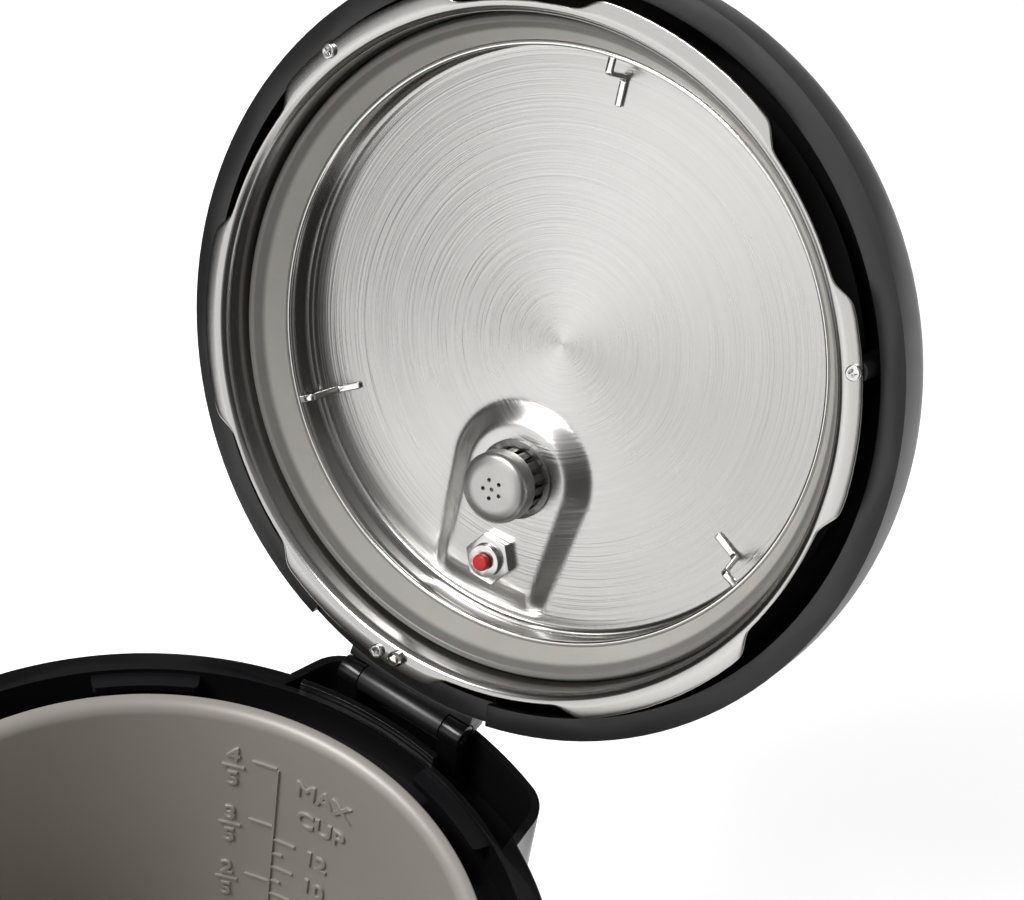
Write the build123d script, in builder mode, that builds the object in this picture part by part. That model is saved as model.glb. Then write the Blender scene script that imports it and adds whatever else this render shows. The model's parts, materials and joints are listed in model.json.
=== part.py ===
from build123d import *
import os
from math import asin, cos, degrees, radians, sin

# Electric pressure cooker with a hinged, turn-to-lock lid. Millimetres, +Z up, front at -Y, hinge at +Y.
# The origin is on the standing plane, on the axis of the cooking pot. The lid is modelled open.

os.makedirs("parts", exist_ok=True)

# cooking pot
pot_r = 110.0  # inner radius
pot_depth = 158.0
pot_wall = 1.5
pot_floor = 2.5
pot_corner = 22.0  # radius between the wall and the floor
flange_w = 6.4  # how far the pot's rolled flange stands out from its inner wall
flange_t = 2.0
base_h = 75.5  # standing plane to the underside of the pot

# clearances
part_gap = 0.4  # between pieces that move past each other
seat_gap = 0.3  # between a removable piece and what it rests on
pin_gap = 0.05  # radial running clearance of a pin
skin = 2.5  # wall of the moulded covers

# heating chamber and bayonet ring
chamber_gap = 2.0  # between the pot's wall and the chamber
chamber_t = 1.0
chamber_lip = 1.8
plate_t = 16.0
plate_margin = 15.5  # chamber wall to the edge of the heating plate
shelf_drop = 20.0  # pot rim down to the floor of the bayonet channel
ring_t = 2.0
ring_lug_deg = 18.0
ring_lug_t = 3.0
ring_lug_drop = 8.0  # pot rim down to the underside of the ring's lugs

# lid, sizes along its own axis are heights above the pot's rim when it is shut
skirt_gap = 3.1  # between the pot's flange and the lid's steel skirt
liner_t = 1.2
lug_t = 1.6
lug_drop = 10.0  # pot rim down to the top of the lid's lugs
lug_w = 9.8  # lug beyond the skirt's inner face
notch_w = 3.9
lug_count = 6
lug_deg = 35.0
lug_phase = 11.0  # lug centre, turned from the hinge arm
shelf_h = 16.2  # underside of the step above the sealing ring
step_w = 10.7  # width of that step
disc_h = 27.4  # height of the lid's disc at its edge
disc_rise = 2.5
platform_h = 23.5
platform_r = 28.5
vent_deg = -3.2  # line of the steam pipe and float valve, turned from the hinge arm
vent_y = 53.6  # steam pipe, from the lid's axis
float_step = 32.9  # steam pipe to float valve

# lid cover
cover_drop = 2.0  # pot rim down to the cover's lower edge
rim_in = 8.5  # width of the cover's turned-in rim
cover_side = 12.0  # height where the cover's shoulder starts
shoulder_r = 20.0
dome_h = 46.0

# body
collar_drop = 3.0  # pot rim down to the collar's top
collar_h = 37.0
channel_gap = 1.8  # between the lid's lugs and the bayonet ring's wall
collar_w = 9.0  # width of the collar's top beyond the channel
band_t = 0.8
base_shell_h = 62.0
foot_h = 5.0

# hinge and its sliding carriage
unlock_deg = 6.0  # carriage's rest place, turned from the back
open_deg = 110.0
hinge_out = 6.4  # outer wall of the collar to the hinge axis
hinge_rise = 1.0
knuckle_r = 5.0
pin_r = 2.4
arm_w = 56.0
barrel_w = 37.4
box_wall = 3.0
box_out = 11.8  # hinge axis to the outside of the hinge box
box_half = 53.0
box_flare = 5.0
box_side = 28.0  # length of the box's slanted sides
box_corner = 16.0
box_floor_drop = 30.0  # pot rim down to the top of the box's floor
box_floor_t = 2.6

# sizes that follow
rim_z = base_h + pot_floor + pot_depth
flange_r = pot_r + flange_w
chamber_r = pot_r + pot_wall + chamber_gap
chamber_out = chamber_r + chamber_t
chamber_floor_z = base_h - seat_gap - plate_t
skirt_r = flange_r + skirt_gap
lug_r = skirt_r + lug_w
notch_r = skirt_r + notch_w
channel_r = lug_r + channel_gap
ring_out = channel_r + ring_t
cover_r = channel_r + collar_w
collar_z = rim_z - collar_drop
collar_foot = collar_z - collar_h
ring_top = collar_z - 2.0
band_r = cover_r - skin - part_gap
hinge_z = rim_z + hinge_rise
hinge_reach = cover_r + hinge_out
box_reach = hinge_reach + box_out
box_floor = rim_z - box_floor_drop
plate_r = chamber_r - plate_margin
float_y = vent_y + float_step
base_out = band_r + 2.8


def sector(inner, outer, width):
    """A flat arc-shaped pad, centred on the local +X axis."""
    with BuildSketch(mode=Mode.PRIVATE) as pad:
        with BuildLine():
            near = CenterArc((0, 0), inner, -width / 2, width)
            far = CenterArc((0, 0), outer, -width / 2, width)
            Line(near @ 0, far @ 0)
            Line(near @ 1, far @ 1)
        make_face()
    return pad.sketch


def finish(builder, name):
    """Label a piece and write it."""
    builder.part.label = name
    export_step(builder.part, f"parts/{name}.step")


# Frames: the carriage turns about the pot's axis, and the lid hangs on the carriage's hinge.
tangent = Vector(cos(radians(unlock_deg)), sin(radians(unlock_deg)), 0)
outward = Vector(-sin(radians(unlock_deg)), cos(radians(unlock_deg)), 0)
up = Vector(0, 0, 1)
carriage_plane = Plane(origin=(0, 0, 0), x_dir=tangent, z_dir=up)
hinge_point = outward * hinge_reach + up * hinge_z
lid_out = outward * cos(radians(open_deg)) - up * sin(radians(open_deg))
lid_up = outward * sin(radians(open_deg)) + up * cos(radians(open_deg))
lid_origin = hinge_point - lid_out * hinge_reach + lid_up * (rim_z - hinge_z)
lid = Plane(origin=lid_origin, x_dir=tangent, z_dir=lid_up)
lid_section = Plane(origin=lid_origin, x_dir=tangent, z_dir=lid_out * -1)
lid_side = Plane(origin=lid_origin, x_dir=lid_out, z_dir=tangent)
lid_axis = Axis(lid_origin, lid_up)
carriage_side = Plane(origin=(0, 0, 0), x_dir=outward, z_dir=tangent)

# ---------------------------------------------------------------- pot, chamber and heater

# Removable cooking pot, pressed aluminium with a rolled flange.
with BuildPart() as inner_pot:
    with BuildSketch(Plane.XZ) as pot_section:
        with BuildLine():
            Polyline(
                (0, base_h),
                (pot_r + pot_wall, base_h),
                (pot_r + pot_wall, rim_z - flange_t),
                (flange_r, rim_z - flange_t),
                (flange_r, rim_z),
                (pot_r, rim_z),
                (pot_r, base_h + pot_floor),
                (0, base_h + pot_floor),
                close=True,
            )
        make_face()
        low = pot_section.vertices().group_by(Axis.Y)[0].sort_by(Axis.X)[-1]
        fillet(low, pot_corner + pot_wall)
        bowl = pot_section.vertices().filter_by(
            lambda v: abs(v.Y - base_h - pot_floor) < 0.01 and abs(v.X - pot_r) < 0.01
        )
        fillet(bowl, pot_corner)
        edge = pot_section.vertices().filter_by(lambda v: v.X > flange_r - 0.01)
        fillet(edge, flange_t * 0.45)
        lip = pot_section.vertices().filter_by(
            lambda v: abs(v.Y - rim_z) < 0.01 and abs(v.X - pot_r) < 0.01
        )
        fillet(lip, flange_t * 0.7)
    revolve(axis=Axis.Z)
finish(inner_pot, "inner_pot")

# Heating chamber that the pot drops into, drawn steel, hung from the bayonet ring.
sensor_hole_r = 22.0
terminal_x = 70.0
terminal_r = 3.0
chamber_top = rim_z - flange_t - seat_gap
with BuildPart() as outer_pot:
    with BuildSketch(Plane.XZ):
        with BuildLine():
            Polyline(
                (sensor_hole_r, chamber_floor_z - chamber_t),
                (chamber_out, chamber_floor_z - chamber_t),
                (chamber_out, chamber_top - 1.2),
                (chamber_out + chamber_lip, chamber_top - 1.2),
                (chamber_out + chamber_lip, chamber_top),
                (chamber_r, chamber_top),
                (chamber_r, chamber_floor_z),
                (sensor_hole_r, chamber_floor_z),
                close=True,
            )
        make_face()
    revolve(axis=Axis.Z)
    with BuildSketch(Plane.XY.offset(chamber_floor_z - chamber_t)):
        with Locations((terminal_x, 0), (-terminal_x, 0)):
            Circle(terminal_r + part_gap)
    extrude(amount=chamber_t, mode=Mode.SUBTRACT)
finish(outer_pot, "outer_pot")

# Cast heating plate with its two terminals.
plate_bore = 20.0
plate_top = base_h - seat_gap
with BuildPart() as heating_plate:
    with BuildSketch(Plane.XY.offset(chamber_floor_z)):
        Circle(plate_r)
        Circle(plate_bore, mode=Mode.SUBTRACT)
    extrude(amount=plate_t)
    fillet(heating_plate.edges().group_by(Axis.Z)[-1].sort_by(SortBy.LENGTH)[-1], 5)
    with BuildSketch(Plane.XY.offset(chamber_floor_z)):
        with Locations((terminal_x, 0), (-terminal_x, 0)):
            Circle(terminal_r)
    extrude(amount=-11)
finish(heating_plate, "heating_plate")

# Spring-loaded temperature sensor in the middle of the plate.
sensor_r = 17.0
sensor_h = 12.0
with BuildPart() as temperature_sensor:
    with BuildSketch(Plane.XY.offset(plate_top - sensor_h)):
        Circle(sensor_r)
    extrude(amount=sensor_h)
    fillet(temperature_sensor.edges().group_by(Axis.Z)[-1], 2)
    with BuildSketch(Plane.XY.offset(plate_top - sensor_h)):
        Circle(sensor_r - 1.5)
    extrude(amount=sensor_h - 1.5, mode=Mode.SUBTRACT)
finish(temperature_sensor, "temperature_sensor")

# Cup-shaped bracket under the chamber that carries the sensor's spring.
bracket_r = 28.0
bracket_z = chamber_floor_z - chamber_t - 10.0
with BuildPart() as sensor_bracket:
    with BuildSketch(Plane.XZ):
        with BuildLine():
            Polyline(
                (4, bracket_z),
                (bracket_r, bracket_z),
                (bracket_r, chamber_floor_z - chamber_t),
                (bracket_r - 2, chamber_floor_z - chamber_t),
                (bracket_r - 2, bracket_z + 2),
                (4, bracket_z + 2),
                close=True,
            )
        make_face()
    revolve(axis=Axis.Z)
finish(sensor_bracket, "sensor_bracket")

# Coil spring between the bracket and the sensor.
spring_wire = 0.9
spring_low = bracket_z + 2 + spring_wire
spring_high = plate_top - 1.5 - spring_wire
with BuildPart() as sensor_spring:
    with BuildLine() as coil:
        Helix(pitch=(spring_high - spring_low) / 5, height=spring_high - spring_low, radius=11,
              center=(0, 0, spring_low))
    with BuildSketch(Plane(origin=coil.line @ 0, z_dir=coil.line % 0)):
        Circle(spring_wire)
    sweep(path=coil.line)
finish(sensor_spring, "sensor_spring")

# Bayonet ring around the pot's mouth: channel floor, wall and inward lugs.
lug_low = rim_z - ring_lug_drop
ring_lug_in = notch_r + 1.1
ring_lug_at = 90 + unlock_deg + lug_phase + 180 / lug_count
with BuildPart() as locking_ring:
    with BuildSketch(Plane.XZ):
        with BuildLine():
            Polyline(
                (chamber_out, rim_z - shelf_drop),
                (ring_out, rim_z - shelf_drop),
                (ring_out, ring_top),
                (channel_r, ring_top),
                (channel_r, rim_z - shelf_drop + ring_t),
                (chamber_out, rim_z - shelf_drop + ring_t),
                close=True,
            )
        make_face()
    revolve(axis=Axis.Z)
    with BuildSketch(Plane.XY.offset(lug_low)):
        with PolarLocations(0, lug_count, start_angle=ring_lug_at):
            add(sector(ring_lug_in, channel_r + 0.5, ring_lug_deg))
    extrude(amount=ring_lug_t)
    inner_ends = locking_ring.edges().filter_by(Axis.Z).filter_by(
        lambda e: abs((e @ 0.5).X ** 2 + (e @ 0.5).Y ** 2 - ring_lug_in**2) < 1
    )
    fillet(inner_ends, 2)
finish(locking_ring, "locking_ring")

# ---------------------------------------------------------------- body


def box_outline(inset):
    """The hinge box's outline seen from above, moved in by inset from its outer face."""
    reach = box_reach - inset
    half = box_half - inset
    corner_y = (reach**2 - half**2) ** 0.5
    with BuildSketch(mode=Mode.PRIVATE) as outline:
        with BuildLine():
            Polyline(
                (half, corner_y),
                (half + box_flare, corner_y - box_side),
                (half + box_flare, cover_r - 40),
                (-half - box_flare, cover_r - 40),
                (-half - box_flare, corner_y - box_side),
                (-half, corner_y),
            )
            ThreePointArc((-half, corner_y), (0, reach), (half, corner_y))
        make_face()
        corners = outline.vertices().filter_by(lambda v: abs(v.Y - corner_y) < 0.01)
        fillet(corners, box_corner - inset)
    return outline.sketch


# Black collar around the pot's mouth, with the open box that the hinge carriage slides in.
slide_r = hinge_reach - 1.5  # middle of the carriage's slot
slot_half = 2.4
slot_deg = 31.0
box_inner = ring_out + 0.3
with BuildPart() as top_collar:
    with BuildSketch(Plane.XZ):
        with BuildLine():
            Polyline(
                (channel_r, ring_top),
                (channel_r, collar_z),
                (cover_r, collar_z),
                (cover_r, collar_foot),
                (cover_r - skin, collar_foot),
                (cover_r - skin, collar_foot + 4),
                (ring_out + 0.3, collar_foot + 4),
                (ring_out + 0.3, box_floor),
                (cover_r - skin, box_floor),
                (cover_r - skin, ring_top),
                close=True,
            )
        make_face()
    revolve(axis=Axis.Z)
    fillet(top_collar.edges().group_by(Axis.Z)[-1].sort_by(SortBy.LENGTH)[-1], 1.5)
    with BuildSketch(Plane.XY.offset(collar_foot)):
        add(box_outline(0))
        Circle(cover_r - 0.5, mode=Mode.SUBTRACT)
    extrude(amount=collar_h)
    with BuildSketch(Plane.XY.offset(collar_foot)):
        add(box_outline(box_wall))
        Circle(cover_r, mode=Mode.SUBTRACT)
    extrude(amount=box_floor - box_floor_t - collar_foot, mode=Mode.SUBTRACT)
    with BuildSketch(Plane.XY.offset(box_floor)):
        add(box_outline(box_wall))
        Circle(box_inner, mode=Mode.SUBTRACT)
    extrude(amount=collar_h, mode=Mode.SUBTRACT)
    with BuildSketch(Plane.XY.offset(box_floor - box_floor_t)):
        with Locations(Location((0, 0), 90)):
            add(sector(slide_r - slot_half, slide_r + slot_half, slot_deg))
    extrude(amount=box_floor_t, mode=Mode.SUBTRACT)
finish(top_collar, "top_collar")

# Plate that closes the hinge box from below.
with BuildPart() as hinge_box_cover:
    with BuildSketch(Plane.XY.offset(collar_foot)):
        add(box_outline(box_wall + 0.2))
        Circle(cover_r + 0.2, mode=Mode.SUBTRACT)
    extrude(amount=1.6)
finish(hinge_box_cover, "hinge_box_cover")

# Brushed steel band, the visible side of the cooker.
with BuildPart() as outer_housing:
    with BuildSketch(Plane.XY.offset(base_shell_h - 3)):
        Circle(band_r)
        Circle(band_r - band_t, mode=Mode.SUBTRACT)
    extrude(amount=collar_foot + 4 - base_shell_h + 3)
finish(outer_housing, "outer_housing")

# Moulded base with the opening for the power inlet at the back.
inlet_w = 34.0
inlet_h = 24.0
inlet_z = 34.0
base_ring_in = base_out - 44.0
base_floor_t = 3.0
base_screw_at = base_ring_in + 5.0
base_screw_r = 2.0
with BuildPart() as base_shell:
    with BuildSketch(Plane.XZ):
        with BuildLine():
            Polyline(
                (base_ring_in, foot_h),
                (base_out - 10, foot_h),
                (base_out, foot_h + 18),
                (base_out, base_shell_h),
                (band_r, base_shell_h),
                (band_r, base_shell_h - 3),
                (base_out - 5, base_shell_h - 3),
                (base_out - 5, foot_h + 19),
                (base_out - 14, foot_h + base_floor_t),
                (base_ring_in, foot_h + base_floor_t),
                close=True,
            )
        make_face()
    revolve(axis=Axis.Z)
    with BuildSketch(Plane.XZ.offset(-base_out - 5)):
        with Locations((0, inlet_z)):
            Rectangle(inlet_w + part_gap, inlet_h + part_gap)
    extrude(amount=20, mode=Mode.SUBTRACT)
    with BuildSketch(Plane.XY.offset(foot_h)):
        with PolarLocations(base_screw_at, 4, start_angle=45):
            Circle(base_screw_r)
    extrude(amount=base_floor_t, mode=Mode.SUBTRACT)
finish(base_shell, "base_shell")

# Rubber ring that the cooker stands on.
foot_r = base_out - 22.0
foot_w = 10.0
with BuildPart() as foot_ring:
    with BuildSketch(Plane.XY):
        Circle(foot_r)
        Circle(foot_r - foot_w, mode=Mode.SUBTRACT)
    extrude(amount=foot_h)
    fillet(foot_ring.edges().group_by(Axis.Z)[0], 1)
finish(foot_ring, "foot_ring")

# Steel bottom plate with the standoffs of the power board.
bottom_z = foot_h + base_floor_t
bottom_r = base_ring_in + 9.0
bottom_t = 1.2
board_x = 38.0
board_y = 26.0
standoff_h = 8.0
with BuildPart() as bottom_plate:
    with BuildSketch(Plane.XY.offset(bottom_z)):
        Circle(bottom_r)
    extrude(amount=bottom_t)
    with BuildSketch(Plane.XY.offset(bottom_z + bottom_t)):
        with GridLocations(2 * board_x, 2 * board_y, 2, 2):
            Circle(3)
    extrude(amount=standoff_h)
    with BuildSketch(Plane.XY.offset(bottom_z)):
        with PolarLocations(base_screw_at, 4, start_angle=45):
            Circle(base_screw_r)
    extrude(amount=bottom_t, mode=Mode.SUBTRACT)
finish(bottom_plate, "bottom_plate")

# Screws through the base ring into the bottom plate, and the board on its standoffs.
with BuildPart() as bottom_screws:
    with BuildSketch(Plane.XY.offset(foot_h - 2)):
        with PolarLocations(base_screw_at, 4, start_angle=45):
            Circle(base_screw_r + 1.5)
    extrude(amount=2)
    with BuildSketch(Plane.XY.offset(foot_h)):
        with PolarLocations(base_screw_at, 4, start_angle=45):
            Circle(base_screw_r)
    extrude(amount=base_floor_t + 4)
finish(bottom_screws, "bottom_screws")

# Power board with a relay, a transformer and capacitors.
board_z = bottom_z + bottom_t + standoff_h
board_t = 1.6
with BuildPart() as power_board:
    with BuildSketch(Plane.XY.offset(board_z)):
        Rectangle(2 * board_x + 10, 2 * board_y + 10)
    extrude(amount=board_t)
    with BuildSketch(Plane.XY.offset(board_z + board_t)):
        with Locations((-24, 10)):
            Rectangle(22, 16)
        with Locations((14, -8)):
            Rectangle(26, 22)
        with Locations((-26, -14), (-12, -14)):
            Circle(5)
    extrude(amount=14)
finish(power_board, "power_board")

# Power inlet in the back of the base: a flanged block with a socket for the lead.
inlet_face = base_out + 2.4
socket_w = 27.0
socket_h = 17.0
socket_depth = 16.0
inlet_back = Plane.XZ.offset(-inlet_face)
with BuildPart() as power_inlet:
    with BuildSketch(inlet_back):
        with Locations((0, inlet_z)):
            RectangleRounded(inlet_w + 8, inlet_h + 8, 3)
    extrude(amount=2.2)
    with BuildSketch(inlet_back):
        with Locations((0, inlet_z)):
            Rectangle(inlet_w, inlet_h)
    extrude(amount=22)
    with BuildSketch(inlet_back):
        with Locations((0, inlet_z)):
            RectangleRounded(socket_w, socket_h, 3)
    extrude(amount=socket_depth, mode=Mode.SUBTRACT)
finish(power_inlet, "power_inlet")

# Three flat contact pins in the socket.
with BuildPart() as inlet_pins:
    with BuildSketch(inlet_back.offset(4)):
        with Locations((-7, inlet_z - 2), (7, inlet_z - 2), (0, inlet_z + 3)):
            Rectangle(2, 4)
    extrude(amount=socket_depth - 4)
finish(inlet_pins, "inlet_pins")

# Grip on each side, an arc-shaped shelf with a turned-down edge.
grip_r = cover_r + 21.0
grip_z = collar_z - 17.0
with BuildPart() as grip:
    with BuildSketch(Plane.XY.offset(grip_z)):
        add(sector(cover_r, grip_r, 38))
    extrude(amount=4)
    with BuildSketch(Plane.XY.offset(grip_z - 12)):
        add(sector(grip_r - 4, grip_r, 38))
    extrude(amount=12)
    fillet(grip.edges().filter_by(Axis.Z).sort_by(Axis.X)[-2:], 3)
    fillet(grip.edges().group_by(Axis.Z)[-1].sort_by(SortBy.LENGTH)[-1], 1.5)
for name, turn in (("side_handle_right", 0), ("side_handle_left", 180)):
    with BuildPart() as side_handle:
        with Locations(Location((0, 0, 0), (0, 0, turn))):
            add(grip.part)
    finish(side_handle, name)

# Front control panel: a flat-faced bezel on the band, with a display and six push buttons.
panel_w = 96.0
panel_h = collar_foot - base_shell_h - 28.0
panel_z = (collar_foot + base_shell_h) / 2 - 3.0
panel_face = band_r + 10.0
panel_t = 3.0
button_w = 22.0
button_h = 11.0
button_travel = 1.2
button_x = 28.0
window_w = 58.0
window_h = 26.0
window_z = panel_z + panel_h / 2 - 8.0 - window_h / 2
low_row_z = panel_z - panel_h / 2 + 13.5 + button_h / 2
top_row_z = window_z - window_h / 2 - 13.0
button_zs = (top_row_z, (top_row_z + low_row_z) / 2, low_row_z)
button_places = [(x, z) for x in (-button_x, button_x) for z in button_zs]
front = Plane.XZ.offset(panel_face)
with BuildPart() as panel_bezel:
    with BuildSketch(front):
        with Locations((0, panel_z)):
            RectangleRounded(panel_w, panel_h, 8)
    extrude(amount=-24)
    with BuildSketch(Plane.XY):
        Circle(band_r)
    extrude(amount=collar_z, mode=Mode.SUBTRACT)
    with BuildSketch(front.offset(-panel_t)):
        with Locations((0, panel_z)):
            RectangleRounded(panel_w - 6, panel_h - 6, 5)
    extrude(amount=-24, mode=Mode.SUBTRACT)
    with BuildSketch(front):
        with Locations(*button_places):
            RectangleRounded(button_w + 2 * part_gap, button_h + 2 * part_gap, 3)
        with Locations((0, window_z)):
            RectangleRounded(window_w, window_h, 3)
    extrude(amount=-panel_t, mode=Mode.SUBTRACT)
finish(panel_bezel, "panel_bezel")

# Clear window of the display, let into the bezel.
with BuildPart() as display_window:
    with BuildSketch(front.offset(-0.3)):
        with Locations((0, window_z)):
            RectangleRounded(window_w, window_h, 3)
    extrude(amount=-panel_t + 0.3)
finish(display_window, "display_window")

# Control board behind the bezel, with the display module.
with BuildPart() as control_board:
    with BuildSketch(front.offset(-panel_t - 4)):
        with Locations((0, panel_z + 14)):
            Rectangle(34, 70)
    extrude(amount=-board_t)
    with BuildSketch(front.offset(-panel_t - 4)):
        with Locations((0, window_z)):
            Rectangle(32, 20)
    extrude(amount=3.5)
finish(control_board, "control_board")

# Push buttons, each with a flange that keeps it behind the bezel.
button_names = ("timer", "plus", "start", "mode", "minus", "cancel")
for name, (x, z) in zip(button_names, button_places):
    with BuildPart() as button:
        with BuildSketch(front.offset(-panel_t - part_gap)):
            with Locations((x, z)):
                RectangleRounded(button_w + 4, button_h + 4, 4)
        extrude(amount=-1)
        with BuildSketch(front.offset(-panel_t - part_gap)):
            with Locations((x, z)):
                RectangleRounded(button_w, button_h, 2.6)
        extrude(amount=panel_t + part_gap + button_travel + 0.4)
        fillet(button.edges().group_by(Axis.Y)[0], 0.8)
    finish(button, f"{name}_button")

# Condensation cup and the holder it slides out of, at the back below the hinge box.
cup_w = 60.0
cup_z = collar_foot - 78.0
cup_h = 56.0
cup_out = band_r + 30.0
with BuildPart() as cup_holder:
    with BuildSketch(Plane.XY.offset(cup_z)):
        with Locations((0, cup_out / 2)):
            Rectangle(cup_w + 8, cup_out - 5)
        Circle(band_r, mode=Mode.SUBTRACT)
        with Locations((0, -100)):
            Rectangle(400, 200, mode=Mode.SUBTRACT)
    extrude(amount=30)
    with BuildSketch(Plane.XY.offset(cup_z + 3)):
        with Locations((0, band_r + 3 + 50)):
            Rectangle(cup_w + 2 * part_gap, 100)
    extrude(amount=30, mode=Mode.SUBTRACT)
finish(cup_holder, "cup_holder")

with BuildPart() as condensation_cup:
    with BuildSketch(Plane.XY.offset(cup_z + 3 + part_gap)):
        with Locations((0, (cup_out + band_r + 4) / 2)):
            RectangleRounded(cup_w, cup_out - band_r - 4, 5)
    extrude(amount=cup_h)
    top = condensation_cup.faces().sort_by(Axis.Z)[-1]
    offset(amount=-2, openings=top)
finish(condensation_cup, "condensation_cup")

# ---------------------------------------------------------------- hinge carriage

carriage_low = box_floor + part_gap
carriage_top = carriage_low + 7.6
rib_in = box_inner + part_gap
rib_out = rib_in + 2.6
stem_half = 4.0
keeper_screw_r = 1.2
knuckle_in = barrel_w / 2 + part_gap
knuckle_out = arm_w / 2
carriage_deg = degrees(2 * asin((arm_w / 2 + 1.2) / hinge_reach))
to_back = Location((0, 0), 90)
with BuildPart() as hinge_carriage:
    with BuildSketch(carriage_plane.offset(carriage_low)):
        with Locations(to_back):
            add(sector(rib_in, hinge_reach + 5.5, carriage_deg))
    extrude(amount=carriage_top - carriage_low)
    with BuildSketch(carriage_plane.offset(carriage_low)):
        with Locations(Location((0, 0), 92.5)):
            add(sector(rib_in, rib_out, 26))
    extrude(amount=rim_z - carriage_low)
    with BuildSketch(carriage_plane.offset(box_floor - box_floor_t - part_gap)):
        with Locations(to_back):
            add(sector(slide_r - slot_half + part_gap, slide_r + slot_half - part_gap, 16))
    extrude(amount=carriage_low + part_gap - box_floor + box_floor_t)
    for side in (-1, 1):
        with BuildSketch(carriage_side.offset(side * knuckle_in)):
            with Locations((hinge_reach, hinge_z)):
                Circle(knuckle_r)
            with Locations((hinge_reach, (carriage_top + hinge_z) / 2)):
                Rectangle(2 * stem_half, hinge_z - carriage_top)
        extrude(amount=side * (knuckle_out - knuckle_in))
    with BuildSketch(carriage_side.offset(-knuckle_out)):
        with Locations((hinge_reach, hinge_z)):
            Circle(pin_r)
    extrude(amount=2 * knuckle_out, mode=Mode.SUBTRACT)
    with BuildSketch(carriage_plane.offset(box_floor - box_floor_t - part_gap)):
        with Locations(to_back):
            with PolarLocations(slide_r, 2, start_angle=-5, angular_range=10, endpoint=True):
                Circle(keeper_screw_r)
    extrude(amount=8, mode=Mode.SUBTRACT)
finish(hinge_carriage, "hinge_carriage")

# Steel hinge pin through the carriage's knuckles and the arm's barrel.
with BuildPart() as hinge_pin:
    with BuildSketch(carriage_side.offset(-knuckle_out + 0.5)):
        with Locations((hinge_reach, hinge_z)):
            Circle(pin_r)
    extrude(amount=2 * knuckle_out - 1)
finish(hinge_pin, "hinge_pin")

# Keeper under the box floor that holds the carriage down, and its two screws.
keeper_top = box_floor - box_floor_t - part_gap
keeper_t = 1.5
with BuildPart() as carriage_keeper:
    with BuildSketch(carriage_plane.offset(keeper_top - keeper_t)):
        with Locations(to_back):
            add(sector(cover_r + 1, hinge_reach + 3.5, 17))
            with PolarLocations(slide_r, 2, start_angle=-5, angular_range=10, endpoint=True):
                Circle(keeper_screw_r, mode=Mode.SUBTRACT)
    extrude(amount=keeper_t)
finish(carriage_keeper, "carriage_keeper")

with BuildPart() as keeper_screws:
    with BuildSketch(carriage_plane.offset(keeper_top - keeper_t)):
        with Locations(to_back):
            with PolarLocations(slide_r, 2, start_angle=-5, angular_range=10, endpoint=True):
                Circle(keeper_screw_r)
    extrude(amount=8)
    with BuildSketch(carriage_plane.offset(keeper_top - keeper_t)):
        with Locations(to_back):
            with PolarLocations(slide_r, 2, start_angle=-5, angular_range=10, endpoint=True):
                Circle(keeper_screw_r + 1)
    extrude(amount=-1.2)
finish(keeper_screws, "keeper_screws")

# ---------------------------------------------------------------- lid

pipe_r = 5.0
stem_r = 2.4
screw_r = 1.7
screw_at_r = skirt_r + 6.8
screw_phase = 5.2
stud_r = 3.0
stud_h = 4.2
rack_wire = 1.0
rack_h = 13.4
float_top = dome_h - 5.5
vent_line = Location((0, 0), vent_deg)
vent_place = (-vent_y * sin(radians(vent_deg)), vent_y * cos(radians(vent_deg)))
float_place = (-float_y * sin(radians(vent_deg)), float_y * cos(radians(vent_deg)))
stud_place = ((skirt_r + 4.5) * sin(radians(1.3)), (skirt_r + 4.5) * cos(radians(1.3)))


def platform(inset):
    """Outline of the horseshoe platform pressed into the disc, moved in by inset."""
    reach = platform_r - inset
    spread = 23.5 - inset
    foot_y = float_y + 11.5 - inset
    with BuildSketch(mode=Mode.PRIVATE) as outline:
        with BuildLine():
            Polyline((-reach, vent_y), (-spread, foot_y), (spread, foot_y), (reach, vent_y))
            ThreePointArc((-reach, vent_y), (0, vent_y - reach), (reach, vent_y))
        make_face()
    return outline.sketch


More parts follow.
